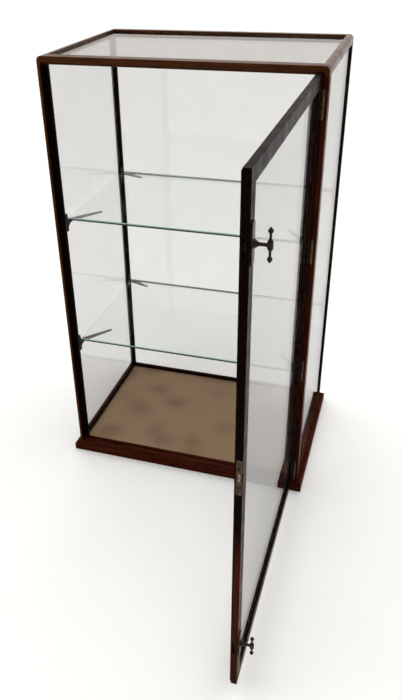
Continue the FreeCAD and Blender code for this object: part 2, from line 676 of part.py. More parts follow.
def build_brackets():
    screws = []
    for level in ("upper", "lower"):
        brackets = []
        for corner in ("front", "back"):
            for side in ("left", "right"):
                made, screw = bracket(f"{level}_{corner}_{side}_bracket", corner, side,
                                      f"{level}_shelf - shelf_thickness")
                brackets.append(made)
                screws.append(screw)
        node(group(f"{level}_shelf_brackets", brackets), f"{level}_shelf_brackets")
    node(group("bracket_screws", screws), "bracket_screws")


# ---------------------------------------------------------------- screws

def screw_at(name, frame, point, turn, length="screw_length"):
    """A countersunk screw: its head's face lies on the point, its shank along turned Z."""
    head_depth = "(screw_head - screw_shank)"
    return fuse(name, [
        cone(name + "_head", frame, point, ("screw_head", "screw_shank"), head_depth, turn),
        cylinder(name + "_shank", frame, point, "screw_shank", length, turn)])


# ---------------------------------------------------------------- hinges

# Where a leaf's screws are: along it as a share of its length, and across it of its reach.
LEAF_SCREWS = [(-0.35, 0.5), (0, 0.32), (0.35, 0.5)]
HINGE_CENTRES = [f"(hinge_first + {number} * hinge_pitch)" for number in range(4)]


def hinge_span(centre):
    return (f"{centre} - hinge_length / 2", f"{centre} + hinge_length / 2")


def leaf_screws(name, centre, place, turn):
    """Three screws up a hinge leaf, the middle one nearer to the knuckle."""
    screws = []
    for step, out in LEAF_SCREWS:
        height = f"{centre} + {step} * hinge_length"
        reach = f"hinge_proud + {out} * leaf_reach"
        screws.append(screw_at(name, AXIS, place(reach, height), turn))
    return screws


def build_hinges():
    """Four butt hinges: the post's leaf has the outer knuckles, the door's the middle one."""
    post_screws, door_screws, pins = [], [], []
    third = "hinge_length / 6"
    round_knuckle = "2 * knuckle_radius"
    for number, centre in enumerate(HINGE_CENTRES, start=1):
        name = f"hinge_{number}"
        span = hinge_span(centre)
        bore = cylinder(name + "_bore", AXIS, ("0", "0", f"{span[0]} - overcut"),
                        "knuckle_bore", "hinge_length + 2 * overcut")
        low = (span[0], f"{centre} - {third} - knuckle_play")
        high = (f"{centre} + {third} + knuckle_play", span[1])
        middle = (f"{centre} - {third} + knuckle_play", f"{centre} + {third} - knuckle_play")

        plate = box(name + "_plate", AXIS, ("hinge_gap", "hinge_gap + leaf"),
                    ("0", "hinge_proud + leaf_reach"), span)
        clear = box(name + "_clear", AXIS, (f"-{round_knuckle}", round_knuckle),
                    (f"-{round_knuckle}", "hinge_proud"), (low[1], high[0]))
        plate = cut(name + "_leaf", plate, [clear])
        knuckles = [cylinder(name + "_knuckle", AXIS, ("0", "0", part[0]), "knuckle_radius",
                             f"({part[1]}) - ({part[0]})") for part in (low, high)]
        screws = leaf_screws(name + "_post_screw", centre,
                             lambda reach, height: ("hinge_gap", reach, height), INTO_POST)
        post_screws += screws
        node(cut(name + "_post_leaf", fuse(name + "_post_blank", [plate] + knuckles),
                 [bore] + screws), name + "_post_leaf")

        plate = box(name + "_door_plate", AXIS, ("-hinge_proud - leaf_reach", "0"),
                    ("-hinge_gap - leaf", "-hinge_gap"), span)
        clears = [box(name + "_clear", AXIS, ("-hinge_proud", round_knuckle),
                      (f"-{round_knuckle}", round_knuckle), part)
                  for part in ((f"{span[0]} - overcut", middle[0]),
                               (middle[1], f"{span[1]} + overcut"))]
        plate = cut(name + "_door_plate_cut", plate, clears)
        knuckle = cylinder(name + "_door_knuckle", AXIS, ("0", "0", middle[0]),
                           "knuckle_radius", f"({middle[1]}) - ({middle[0]})")
        screws = leaf_screws(name + "_door_screw", centre,
                             lambda reach, height: (f"-({reach})", "-hinge_gap", height),
                             INTO_DOOR)
        door_screws += screws
        node(cut(name + "_door_leaf", fuse(name + "_door_blank", [plate, knuckle]),
                 [bore] + screws), name + "_door_leaf")
        pins.append(fuse(name + "_pin", [
            cylinder(name + "_pin_rod", AXIS, ("0", "0", span[0]), "pin_radius",
                     "hinge_length"),
            cylinder(name + "_pin_foot", AXIS, ("0", "0", f"{span[0]} - pin_cap"),
                     "pin_cap_radius", "pin_cap"),
            cylinder(name + "_pin_head", AXIS, ("0", "0", span[1]), "pin_cap_radius",
                     "pin_cap")]))
    node(group("hinge_pins", pins), "hinge_pins")
    node(group("post_hinge_screws", post_screws), "post_hinge_screws")
    node(group("door_hinge_screws", door_screws), "door_hinge_screws")


# ---------------------------------------------------------------- door

STEP_X = ("-overcut", "door_step")
FRONT_X = ("rebate_depth", "door_thickness")
BACK_X = ("0", "rebate_depth")
SIGHT = "(door_stile - door_rebate)"


def door_step_end():
    """The step across the top of a stile."""
    return box("step", DOOR, STEP_X, ("-overcut", f"{DOOR_WIDTH} + overcut"),
               (f"{DOOR_TOP} - door_step_width", f"{DOOR_TOP} + overcut"))


def latch_pocket(height):
    """A turn latch's slot in the door's edge, and the bore of its spindle."""
    slot = box("slot", DOOR,
               ("tongue_start - slot_margin", "tongue_start + tongue_thickness + slot_margin"),
               ("-overcut", "latch_inset + tongue_width / 2 + slot_margin"),
               (f"{height} - tongue_length - 2 * slot_margin", f"{height} + latch_inset"))
    bore = cylinder("bore", DOOR, ("spindle_end - 4 * spindle_fit", "latch_inset", height),
                    "spindle_radius + spindle_fit", "door_thickness", INTO_POST)
    return [slot, bore]


LOCK_X = ("lock_centre - lock_width / 2", "lock_centre + lock_width / 2")
LOCK_Z = ("lock_height - lock_length / 2", "lock_height + lock_length / 2")
CASE_X = ("lock_centre - lock_case_thickness / 2", "lock_centre + lock_case_thickness / 2")
CASE_Z = ("lock_height - lock_case_length / 2", "lock_height + lock_case_length / 2")
CASE_Y = ("lock_plate", "lock_plate + lock_case_depth")


def keyhole(name, start, end):
    """A keyhole through the outer side of the door: a round eye over a straight leg."""
    eye = cylinder(name + "_eye", DOOR, (start, "key_inset", "key_height"), "key_radius",
                   f"({end}) - ({start})", INTO_POST)
    leg = box(name + "_leg", DOOR, (start, end),
              ("key_inset - key_slot", "key_inset + key_slot"),
              ("key_height - key_drop", "key_height"))
    return [eye, leg]


def build_door_frame():
    height = (DOOR_BOTTOM, DOOR_TOP)
    outline = [("door_step", "0"), ("door_thickness", "0"), ("door_thickness", "door_stile"),
               ("rebate_depth", "door_stile"), ("rebate_depth", SIGHT), ("0", SIGHT),
               ("0", "door_step_width"), ("door_step", "door_step_width")]
    stile = prism("lock_stile_blank", DOOR, "XY", outline, *height)
    lock_bed = box("lock_bed", DOOR, LOCK_X, ("-overcut", "lock_plate"), LOCK_Z)
    lock_room = box("lock_room", DOOR, CASE_X, ("0", CASE_Y[1]), CASE_Z)
    tools = ([door_step_end(), lock_bed, lock_room] + latch_pocket("latch_upper")
             + latch_pocket("latch_lower")
             + keyhole("stile_key", CASE_X[1], "door_thickness + overcut"))
    node(cut("door_lock_stile", stile, tools), "door_lock_stile")

    far = DOOR_WIDTH
    outline = [("0", f"{far} - {SIGHT}"), ("rebate_depth", f"{far} - {SIGHT}"),
               ("rebate_depth", f"{far} - door_stile"), ("door_thickness", f"{far} - door_stile"),
               ("door_thickness", far), ("0", far)]
    stile = prism("hinge_stile_blank", DOOR, "XY", outline, *height)
    beds = [box("leaf_bed", AXIS, ("-hinge_proud - leaf_reach", "overcut"),
                ("-hinge_gap - leaf", "overcut"), hinge_span(centre))
            for centre in HINGE_CENTRES]
    node(cut("door_hinge_stile", stile, [door_step_end()] + beds), "door_hinge_stile")

    front_y = ("door_stile", f"{DOOR_WIDTH} - door_stile")
    back_y = (SIGHT, f"{DOOR_WIDTH} - {SIGHT}")
    low, high = DOOR_BOTTOM, DOOR_TOP
    step = f"{high} - door_step_width"
    outline = [("0", f"{high} - {SIGHT}"), ("rebate_depth", f"{high} - {SIGHT}"),
               ("rebate_depth", high), ("door_step", high), ("door_step", step), ("0", step)]
    node(fuse("door_top_rail", [
        prism("door_top_back", DOOR, "XZ", outline, *back_y),
        box("door_top_front", DOOR, FRONT_X, front_y, (f"{high} - door_stile", high))]),
        "door_top_rail")
    node(fuse("door_bottom_rail", [
        box("door_bottom_back", DOOR, BACK_X, back_y, (low, f"{low} + {SIGHT}")),
        box("door_bottom_front", DOOR, FRONT_X, front_y, (low, f"{low} + door_stile"))]),
        "door_bottom_rail")


def build_door_glass():
    margin = f"{SIGHT} + 2 * slot_margin"
    low, high = DOOR_BOTTOM, DOOR_TOP
    node(box("door_glass", DOOR,
             ("rebate_depth - pane_gap - pane", "rebate_depth - pane_gap"),
             (margin, f"{DOOR_WIDTH} - ({margin})"),
             (f"{low} + {margin}", f"{high} - ({margin})")), "door_glass")
    deep = ("0", "rebate_depth - pane - 2 * pane_gap")
    tall = (f"{low} + {SIGHT}", f"{high} - {SIGHT}")
    wide = ("door_stile", f"{DOOR_WIDTH} - door_stile")
    near = (SIGHT, "door_stile")
    node(group("door_glazing_beads", [
        bead("bead", DOOR, deep, near, tall, (-1, 1, 0)),
        bead("bead", DOOR, deep, from_far(near, DOOR_WIDTH), tall, (-1, -1, 0)),
        bead("bead", DOOR, deep, wide, (f"{low} + {SIGHT}", f"{low} + door_stile"), (-1, 0, 1)),
        bead("bead", DOOR, deep, wide, (f"{high} - door_stile", f"{high} - {SIGHT}"),
             (-1, 0, -1))]), "door_glazing_beads")


# ---------------------------------------------------------------- lock

def build_lock():
    bolt_x = ("lock_centre - bolt_thickness / 2", "lock_centre + bolt_thickness / 2")
    bolt_z = ("lock_height - bolt_width / 2", "lock_height + bolt_width / 2")
    node(box("lock_bolt", DOOR, bolt_x, ("0", "bolt_length"), bolt_z), "lock_bolt")

    plate = box("faceplate_blank", DOOR, LOCK_X, ("0", "lock_plate"), LOCK_Z)
    slot = box("bolt_slot", DOOR, (f"{bolt_x[0]} - bolt_fit", f"{bolt_x[1]} + bolt_fit"),
               ("-overcut", "lock_plate + overcut"), (f"{bolt_z[0]} - bolt_fit", f"{bolt_z[1]} + bolt_fit"))
    screws = [screw_at("lock_screw", DOOR,
                       ("lock_centre", "0", f"lock_height {sign} lock_screw"), INTO_EDGE)
              for sign in ("-", "+")]
    node(cut("lock_faceplate", plate, [slot] + screws), "lock_faceplate")
    node(group("lock_screws", screws), "lock_screws")

    shell = box("lock_shell", DOOR, CASE_X, CASE_Y, CASE_Z)
    room = box("lock_hollow", DOOR, (f"{CASE_X[0]} + lock_wall", f"{CASE_X[1]} - lock_wall"),
               ("0", f"{CASE_Y[1]} - lock_wall"),
               (f"{CASE_Z[0]} + lock_wall", f"{CASE_Z[1]} - lock_wall"))
    key = keyhole("case_key", f"{CASE_X[1]} - lock_wall - overcut", f"{CASE_X[1]} + overcut")
    node(cut("lock_case", shell, [room] + key), "lock_case")

    rim = [cylinder("rim", DOOR, ("door_thickness", "key_inset", height), "key_rim", "key_plate",
                    INTO_POST) for height in ("key_height", "key_height - rim_drop")]
    rim.append(box("rim_middle", DOOR, ("door_thickness", "door_thickness + key_plate"),
                   ("key_inset - key_rim", "key_inset + key_rim"),
                   ("key_height - rim_drop", "key_height")))
    node(cut("keyhole_escutcheon", fuse("rim_blank", rim),
             keyhole("rim_key", "door_thickness - overcut", "door_thickness + 2 * overcut")),
         "keyhole_escutcheon")


# ---------------------------------------------------------------- turn latches

PLATE_FACE = "(door_thickness + plate_thickness)"
BAR_X = f"({PLATE_FACE} + stem_reach)"


def turn_plate(name, height, screws):
    """The latch's oblong plate with round ends."""
    flat = "(plate_length - plate_width) / 2"
    ends = [cylinder(name + "_end", DOOR,
                     ("door_thickness", "latch_inset", f"{height} {sign} {flat}"),
                     "plate_width / 2", "plate_thickness", INTO_POST) for sign in ("-", "+")]
    middle = box(name + "_middle", DOOR, ("door_thickness", PLATE_FACE),
                 ("latch_inset - plate_width / 2", "latch_inset + plate_width / 2"),
                 (f"{height} - {flat}", f"{height} + {flat}"))
    bore = cylinder(name + "_bore", DOOR, ("door_thickness - overcut", "latch_inset", height),
                    "spindle_radius + spindle_fit", "plate_thickness + 2 * overcut", INTO_POST)
    plate = fuse(name + "_blank", ends + [middle])
    soft = rounded(name + "_soft", plate, "plate_round", is_plate_rim)
    return cut(name, soft, [bore] + screws)


def is_plate_rim(middle, edge):
    """An edge of a latch plate's outer face."""
    face = value_of(f"{DOOR[0]} + {PLATE_FACE}")
    return abs(middle.x - face) < NEAR and edge.Length > SIZE["plate_width"] / 2


def turn_handle(name, height):
    """A T handle: a bar with acorn ends on a stem, in one piece with its spindle."""
    start = f"{PLATE_FACE} + handle_play"
    centre = (BAR_X, "latch_inset")
    pieces = [
        cylinder(name + "_spindle", DOOR, ("spindle_end", "latch_inset", height),
                 "spindle_radius", f"{start} - spindle_end + overcut", INTO_POST),
        cone(name + "_collar", DOOR, (start, "latch_inset", height),
             ("collar_radius", "stem_radius"), "collar_radius", INTO_POST),
        cylinder(name + "_stem", DOOR, (start, "latch_inset", height), "stem_radius",
                 "stem_reach - handle_play", INTO_POST),
        cylinder(name + "_barrel", DOOR, (*centre, f"{height} - barrel_length / 2"),
                 "barrel_radius", "barrel_length")]
    up = FreeCAD.Rotation()
    down = FreeCAD.Rotation(FreeCAD.Vector(1, 0, 0), 180)
    for sign, turn in (("+", up), ("-", down)):
        shoulder = f"{height} {sign} barrel_length / 2"
        pieces += [
            cone(name + "_shoulder", DOOR, (*centre, shoulder), ("barrel_radius", "neck_radius"),
                 "barrel_radius", turn),
            cylinder(name + "_neck", DOOR, (*centre, shoulder), "neck_radius",
                     "bar_length / 2 - barrel_length / 2 - acorn_radius", turn),
            ball(name + "_acorn", DOOR,
                 (*centre, f"{height} {sign} (bar_length / 2 - acorn_tip - acorn_radius)"),
                 "acorn_radius"),
            ball(name + "_tip", DOOR,
                 (*centre, f"{height} {sign} (bar_length / 2 - acorn_tip)"), "acorn_tip")]
    return fuse(name, pieces)


def turn_tongue(name, height):
    """The tongue on the spindle, hanging down while the latch is open."""
    width = ("latch_inset - tongue_width / 2", "latch_inset + tongue_width / 2")
    thick = ("tongue_start", "tongue_start + tongue_thickness")
    tip = f"{height} - tongue_length + tongue_width / 2"
    blank = fuse(name + "_blank", [
        box(name + "_bar", DOOR, thick, width, (tip, height)),
        cylinder(name + "_tip", DOOR, (thick[0], "latch_inset", tip), "tongue_width / 2",
                 "tongue_thickness", INTO_POST),
        cylinder(name + "_heel", DOOR, (thick[0], "latch_inset", height), "tongue_width / 2",
                 "tongue_thickness", INTO_POST)])
    hole = cylinder(name + "_hole", DOOR, ("0", "latch_inset", height), "spindle_radius",
                    "door_thickness", INTO_POST)
    return cut(name, blank, [hole])


def build_latches():
    all_screws = []
    for level in ("upper", "lower"):
        height = f"latch_{level}"
        screws = [screw_at(f"{level}_plate_screw", DOOR,
                           (PLATE_FACE, "latch_inset", f"{height} {sign} plate_screw"), INTO_FACE)
                  for sign in ("-", "+")]
        all_screws += screws
        for part, shape in (("backplate", turn_plate(f"{level}_turn_backplate", height, screws)),
                            ("handle", turn_handle(f"{level}_turn_handle", height)),
                            ("tongue", turn_tongue(f"{level}_turn_tongue", height))):
            node(shape, f"{level}_turn_{part}")
    node(group("backplate_screws", all_screws), "backplate_screws")


# ---------------------------------------------------------------- build, check and write

def check_and_write():
    DOCUMENT.recompute()
    for obj in DOCUMENT.Objects:
        if "Invalid" in obj.State or "Error" in obj.State:
            raise RuntimeError(f"{obj.Label} failed: {obj.State}")
    os.makedirs("parts", exist_ok=True)
    for piece in NODES:
        shape = piece.Shape
        if shape.isNull() or not shape.isValid():
            raise RuntimeError(f"{piece.Label} has no valid shape")
        shape.exportStep(f"parts/{piece.Label}.step")
        print(piece.Label, len(shape.Solids), round(shape.Volume / 1000, 2), "cm3")
    print(len(NODES), "nodes")


build_base()
build_front_posts()
build_back_posts()
build_top_rails()
build_bottom_rails()
build_case_glass()
build_shelves()
build_brackets()
build_hinges()
build_door_frame()
build_door_glass()
build_lock()
build_latches()
check_and_write()
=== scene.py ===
"""Looks of a glass display showcase: french-polished mahogany, old glass, suede and aged metal."""

import math

import bmesh
import bpy
from mathutils import Matrix, Vector, noise

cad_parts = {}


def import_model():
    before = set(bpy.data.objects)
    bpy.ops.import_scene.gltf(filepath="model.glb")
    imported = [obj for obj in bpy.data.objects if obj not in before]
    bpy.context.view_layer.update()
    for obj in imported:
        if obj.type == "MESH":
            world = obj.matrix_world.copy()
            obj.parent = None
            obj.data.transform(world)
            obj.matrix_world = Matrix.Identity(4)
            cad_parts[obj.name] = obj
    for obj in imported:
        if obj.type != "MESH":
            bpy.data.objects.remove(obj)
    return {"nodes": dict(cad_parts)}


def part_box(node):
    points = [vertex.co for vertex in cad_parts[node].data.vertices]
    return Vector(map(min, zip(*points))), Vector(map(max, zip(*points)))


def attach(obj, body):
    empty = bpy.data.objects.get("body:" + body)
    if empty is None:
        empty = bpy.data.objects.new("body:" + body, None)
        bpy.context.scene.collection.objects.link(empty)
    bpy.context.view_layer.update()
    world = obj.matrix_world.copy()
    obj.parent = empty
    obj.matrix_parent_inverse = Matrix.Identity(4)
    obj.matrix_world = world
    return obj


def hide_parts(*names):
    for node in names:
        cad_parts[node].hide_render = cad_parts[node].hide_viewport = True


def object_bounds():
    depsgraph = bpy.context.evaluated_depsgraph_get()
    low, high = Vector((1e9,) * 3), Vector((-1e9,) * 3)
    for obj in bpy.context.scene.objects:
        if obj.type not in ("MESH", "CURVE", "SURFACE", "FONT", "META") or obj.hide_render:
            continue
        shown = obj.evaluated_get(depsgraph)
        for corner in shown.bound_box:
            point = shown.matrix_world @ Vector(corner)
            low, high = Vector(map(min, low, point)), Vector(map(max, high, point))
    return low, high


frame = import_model()
CAD_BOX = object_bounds()

X, Y, Z = range(3)
UPRIGHT, ACROSS, DEEP = Z, X, Y

# ---- camera: where it stands, how it is turned, and its lens ----
CAMERA_PLACE = (0.4197, -1.4461, 1.1537)
CAMERA_YAW = -0.3179
CAMERA_DIP = 0.5389
CAMERA_ROLL = -0.0232
CAMERA_LENS_MM = 36.756
CAMERA_SHIFT = (0.0257, -0.0146)

# ---- studio ----
FLOOR_SIZE = 80.0
FLOOR_DROP = 0.0003
WARM_ROOM = (1.0, 0.94, 0.89)
WHITE = (1.0, 1.0, 1.0)
COOL_SKY = (0.90, 0.97, 1.0)
SKY_POWER = 1.25
SKY_SPREAD = math.radians(120)
SKY_LEAN = (math.radians(-12), math.radians(-8), 0)
MIDDLE = (0, -0.1, 0.45)
# name, place, width of the disk, watts, colour
LAMPS = [
    ("overhead", (0.3, 0.5, 3.0), 2.4, 11, (1.0, 0.985, 0.96)),
    ("key", (-2.2, -1.6, 2.2), 1.6, 8, (1.0, 0.975, 0.94)),
]
GLASS_BOUNCES = 32

# ---- geometry ----
WELD = 0.00001
ARRIS = 0.0006
SHARP = math.radians(28)


# ---------------------------------------------------------------- node helpers
def add(tree, kind, inputs=None, **settings):
    """A new node. inputs maps sockets to values or to the sockets that feed them."""
    node = tree.nodes.new(kind)
    for name, value in settings.items():
        setattr(node, name, value)
    for key, value in (inputs or {}).items():
        if isinstance(value, bpy.types.NodeSocket):
            tree.links.new(value, node.inputs[key])
        else:
            node.inputs[key].default_value = value
    return node


def placed(tree, stretch=(1, 1, 1)):
    """The object's own coordinates, in metres, stretched along some axes."""
    at = add(tree, "ShaderNodeTexCoord").outputs["Object"]
    return add(tree, "ShaderNodeMapping", {"Vector": at, "Scale": stretch}).outputs[0]


def cloud(tree, at, scale, detail=4.0, rough=0.5, distortion=0.0):
    """A noise value from 0 to 1."""
    inputs = {"Vector": at, "Scale": scale, "Detail": detail}
    inputs.update({"Roughness": rough, "Distortion": distortion})
    return add(tree, "ShaderNodeTexNoise", inputs).outputs[0]


def ramp(tree, value, *stops):
    """A colour ramp through (place, colour) stops."""
    node = add(tree, "ShaderNodeValToRGB", {"Fac": value})
    points = node.color_ramp.elements
    while len(points) < len(stops):
        points.new(0.5)
    for point, (place, colour) in zip(points, stops):
        point.position = place
        point.color = (*colour, 1)
    return node.outputs["Color"]


def spread(tree, value, low, high, to_low=0.0, to_high=1.0):
    """A value moved from one range to another, and kept inside it."""
    inputs = {"Value": value, "From Min": low, "From Max": high}
    inputs.update({"To Min": to_low, "To Max": to_high})
    return add(tree, "ShaderNodeMapRange", inputs, clamp=True).outputs[0]


def maths(tree, operation, a, b=0.0):
    """One sum on two values."""
    node = add(tree, "ShaderNodeMath", {0: a, 1: b}, operation=operation)
    return node.outputs[0]


def blended(tree, share, a, b, how="MIX"):
    """Two colours mixed."""
    node = add(tree, "ShaderNodeMix", data_type="RGBA", blend_type=how)
    for index, value in ((0, share), (6, a), (7, b)):
        if isinstance(value, bpy.types.NodeSocket):
            tree.links.new(value, node.inputs[index])
        else:
            node.inputs[index].default_value = value if index == 0 else (*value, 1)
    return node.outputs[2]


def bumped(tree, height, distance, strength=1.0, normal=None):
    """A normal that leans with a height, over another normal if one is given."""
    inputs = {"Height": height, "Distance": distance, "Strength": strength}
    if normal:
        inputs["Normal"] = normal
    return add(tree, "ShaderNodeBump", inputs).outputs[0]


def material(name, **uniform):
    """A material with one Principled shader, whose uniform values are set on its own sockets."""
    mat = bpy.data.materials.new(name)
    mat.use_nodes = True
    tree = mat.node_tree
    shader = tree.nodes["Principled BSDF"]
    for key, value in uniform.items():
        shader.inputs[key.replace("_", " ")].default_value = value
    return mat, tree, shader


def feed(tree, shader, **sockets):
    """Links outputs to the shader's sockets, by name."""
    for key, value in sockets.items():
        tree.links.new(value, shader.inputs[key.replace("_", " ")])


def arris_wear(tree, radius, at, scale):
    """How worn an edge is: 1 on a rubbed arris, broken up by noise, and 0 on a flat face."""
    rounded = add(tree, "ShaderNodeBevel", {"Radius": radius}, samples=6).outputs[0]
    flat = add(tree, "ShaderNodeNewGeometry").outputs["Normal"]
    both = {0: rounded, 1: flat}
    turned = add(tree, "ShaderNodeVectorMath", both, operation="DOT_PRODUCT").outputs[1]
    edge = spread(tree, turned, 0.995, 0.86)
    broken = spread(tree, cloud(tree, at, scale, 5), 0.42, 0.66)
    return maths(tree, "MULTIPLY", edge, broken)


# ---------------------------------------------------------------- materials
# Mahogany tones as (dark, mid, light) ramp stops. The "dark" tone is the same wood painted near black:
# painted shade for pieces that face away from the light.
WOOD_TONES = {
    "warm": ((0.022, 0.0055, 0.0006), (0.060, 0.0165, 0.0014), (0.125, 0.040, 0.0048)),
    "red": ((0.012, 0.0014, 0.0006), (0.044, 0.0074, 0.0026), (0.105, 0.0220, 0.0070)),
    "dark": ((0.0016, 0.0004, 0.0003), (0.0050, 0.0013, 0.0008), (0.0160, 0.0042, 0.0022)),
}
WORN_WOOD = (0.140, 0.052, 0.020)
# Near black, painted over part of a piece: painted shade on the front left post, and a darker top on the
# door lock stile.
NEAR_BLACK = (0.0006, 0.0003, 0.0002)
PORE = (0.002, 0.001, 0.001)
DULL = 0.012


def share_of(tree, axis):
    """How far along the piece's own box a point is, from 0 to 1."""
    at = add(tree, "ShaderNodeTexCoord").outputs["Generated"]
    return add(tree, "ShaderNodeSeparateXYZ", {0: at}).outputs[axis]


def mahogany(tone, along, darkening=None, polish=DULL):
    """French-polished mahogany: ribbon figure, fine pores along the grain, and rubbed arrises.

    The optional third argument is (axis, start, full): the colour is painted towards near black along one
    axis of the piece's box. On the front left post this is painted shade on its rebate side; on the door
    lock stile it makes the stile darker towards the top.
    polish is the strength of its shine.
    """
    name = f"mahogany_{tone}_{'xyz'[along]}"
    if darkening:
        name += "_darkened_" + "_".join(str(int(100 * value)) for value in darkening)
    name += f"_{int(1000 * polish)}"
    if name in bpy.data.materials:
        return bpy.data.materials[name]
    mat, tree, shader = material(name, Coat_Weight=0.5 * polish, Coat_Roughness=0.14,
                                 Specular_IOR_Level=polish)
    long, fine = [1.0] * 3, [1.0] * 3
    long[along], fine[along] = 0.07, 0.03
    ribbon = cloud(tree, placed(tree, long), 95, 7, 0.62, 0.9)
    streak = cloud(tree, placed(tree, fine), 620, 4, 0.6)
    pores = cloud(tree, placed(tree, fine), 2600, 2)
    patch = cloud(tree, placed(tree), 9, 3)
    dark, mid, light = WOOD_TONES[tone]
    colour = ramp(tree, ribbon, (0.30, dark), (0.50, mid), (0.72, light))
    colour = blended(tree, spread(tree, streak, 0.42, 0.68, 0.0, 0.7), colour, dark)
    colour = blended(tree, spread(tree, patch, 0.35, 0.7, 0.0, 0.55), colour, mid)
    pore = spread(tree, pores, 0.60, 0.70)
    colour = blended(tree, maths(tree, "MULTIPLY", pore, 0.7), colour, PORE)
    # Painted darkening along one axis of the box: painted shade on the front left post's rebate side, and
    # a darker top on the door lock stile.
    if darkening:
        darkness = spread(tree, share_of(tree, darkening[0]), darkening[1], darkening[2], 0.0, 0.93)
        colour = blended(tree, darkness, colour, NEAR_BLACK)
    wear = arris_wear(tree, 0.0009, placed(tree), 60)
    colour = blended(tree, maths(tree, "MULTIPLY", wear, 0.65), colour, WORN_WOOD)
    rough = spread(tree, cloud(tree, placed(tree), 38, 5), 0.3, 0.7, 0.22, 0.38)
    rough = maths(tree, "ADD", rough, maths(tree, "MULTIPLY", wear, 0.2))
    normal = bumped(tree, maths(tree, "SUBTRACT", streak, pore), 0.00012, 0.5)
    feed(tree, shader, Base_Color=colour, Roughness=rough, Normal=normal)
    return mat


def front_edge(tree):
    """1 on a face that looks towards the front, and 0 on the others."""
    normal = add(tree, "ShaderNodeTexCoord").outputs["Normal"]
    return spread(tree, add(tree, "ShaderNodeSeparateXYZ", {0: normal}).outputs[Y], -0.5, -0.6)


def glass(name, tint, edge=None):
    """A thin clear pane: a mirror that grows with the angle over a clear tint, with dust and waves.

    edge is two colours for a front edge, from its underside up: the glass's own dark green below, and
    above it a pale teal painted highlight of the top arris.
    """
    mat, tree, shader = material(name, Roughness=0.5)
    output = tree.nodes["Material Output"]
    behind = add(tree, "ShaderNodeNewGeometry").outputs["Backfacing"]
    index = spread(tree, behind, 0, 1, 1.5, 1 / 1.5)
    waves = cloud(tree, placed(tree, (1, 1, 0.35)), 7, 1)
    normal = bumped(tree, waves, 0.004, 0.12)
    mirror = add(tree, "ShaderNodeFresnel", {"IOR": index}).outputs[0]
    smear = cloud(tree, placed(tree), 5, 5, 0.6, 0.8)
    shine_rough = spread(tree, smear, 0.4, 0.7, 0.0, 0.05)
    shine = add(tree, "ShaderNodeBsdfGlossy", {"Roughness": shine_rough, "Normal": normal}).outputs[0]
    clear = add(tree, "ShaderNodeBsdfTransparent", {"Color": (*tint, 1)}).outputs[0]
    pane = add(tree, "ShaderNodeMixShader", {0: mirror, 1: clear, 2: shine}).outputs[0]
    specks = spread(tree, cloud(tree, placed(tree), 420, 2), 0.70, 0.78, 0.0, 0.25)
    haze = maths(tree, "ADD", spread(tree, smear, 0.45, 0.8, 0.0, 0.02), specks)
    colour = ramp(tree, smear, (0.3, (0.62, 0.62, 0.60)), (0.7, (0.80, 0.80, 0.78)))
    feed(tree, shader, Base_Color=colour)
    dusty = add(tree, "ShaderNodeMixShader", {0: haze, 1: pane, 2: shader.outputs[0]}).outputs[0]
    if edge:
        polish = add(tree, "ShaderNodeBsdfPrincipled", {"Roughness": 0.2, "Specular IOR Level": 0.3})
        # The front edge is painted from its underside up: the glass's own dark green below, and above it a
        # pale painted highlight of the top arris.
        deep, pale = edge
        height = maths(tree, "ADD", share_of(tree, Z), spread(tree, smear, 0.3, 0.7, -0.06, 0.06))
        edge_and_highlight = ramp(tree, height, (0.0, deep), (0.50, deep), (0.66, pale), (1.0, pale))
        feed(tree, polish, Base_Color=edge_and_highlight)
        parts = {0: front_edge(tree), 1: dusty, 2: polish.outputs[0]}
        dusty = add(tree, "ShaderNodeMixShader", parts).outputs[0]
    tree.links.new(dusty, output.inputs["Surface"])
    return mat


def suede():
    """Short brushed nap: blotches where it lies the other way, with a fine fibre bump."""
    mat, tree, shader = material("suede", Sheen_Weight=0.35, Sheen_Roughness=0.45,
                                 Specular_IOR_Level=0.15)
    shader.inputs["Sheen Tint"].default_value = (0.80, 0.70, 0.58, 1)
    at = placed(tree)
    shake = add(tree, "ShaderNodeTexNoise", {"Vector": at, "Scale": 9.0, "Detail": 2.0}).outputs[1]
    reach = {0: shake, 1: (0.05, 0.05, 0.0)}
    shaken = add(tree, "ShaderNodeVectorMath", reach, operation="MULTIPLY").outputs[0]
    shaken = add(tree, "ShaderNodeVectorMath", {0: at, 1: shaken}, operation="ADD").outputs[0]
    cells = add(tree, "ShaderNodeTexVoronoi", {"Vector": shaken, "Scale": 11.0, "Smoothness": 0.7},
                feature="SMOOTH_F1").outputs["Distance"]
    blots = spread(tree, cells, 0.10, 0.50)
    fibre = cloud(tree, at, 1900, 3, 0.7)
    light, mid, dark = (0.250, 0.163, 0.097), (0.220, 0.141, 0.086), (0.178, 0.111, 0.068)
    colour = ramp(tree, blots, (0.10, dark), (0.50, mid), (0.90, light))
    colour = blended(tree, spread(tree, fibre, 0.40, 0.72, 0.0, 0.30), colour, dark)
    rough = spread(tree, blots, 0.35, 0.65, 0.82, 0.97)
    lie = bumped(tree, blots, 0.0012, 0.35)
    normal = bumped(tree, fibre, 0.0003, 0.7, lie)
    feed(tree, shader, Base_Color=colour, Roughness=rough, Normal=normal)
    return mat


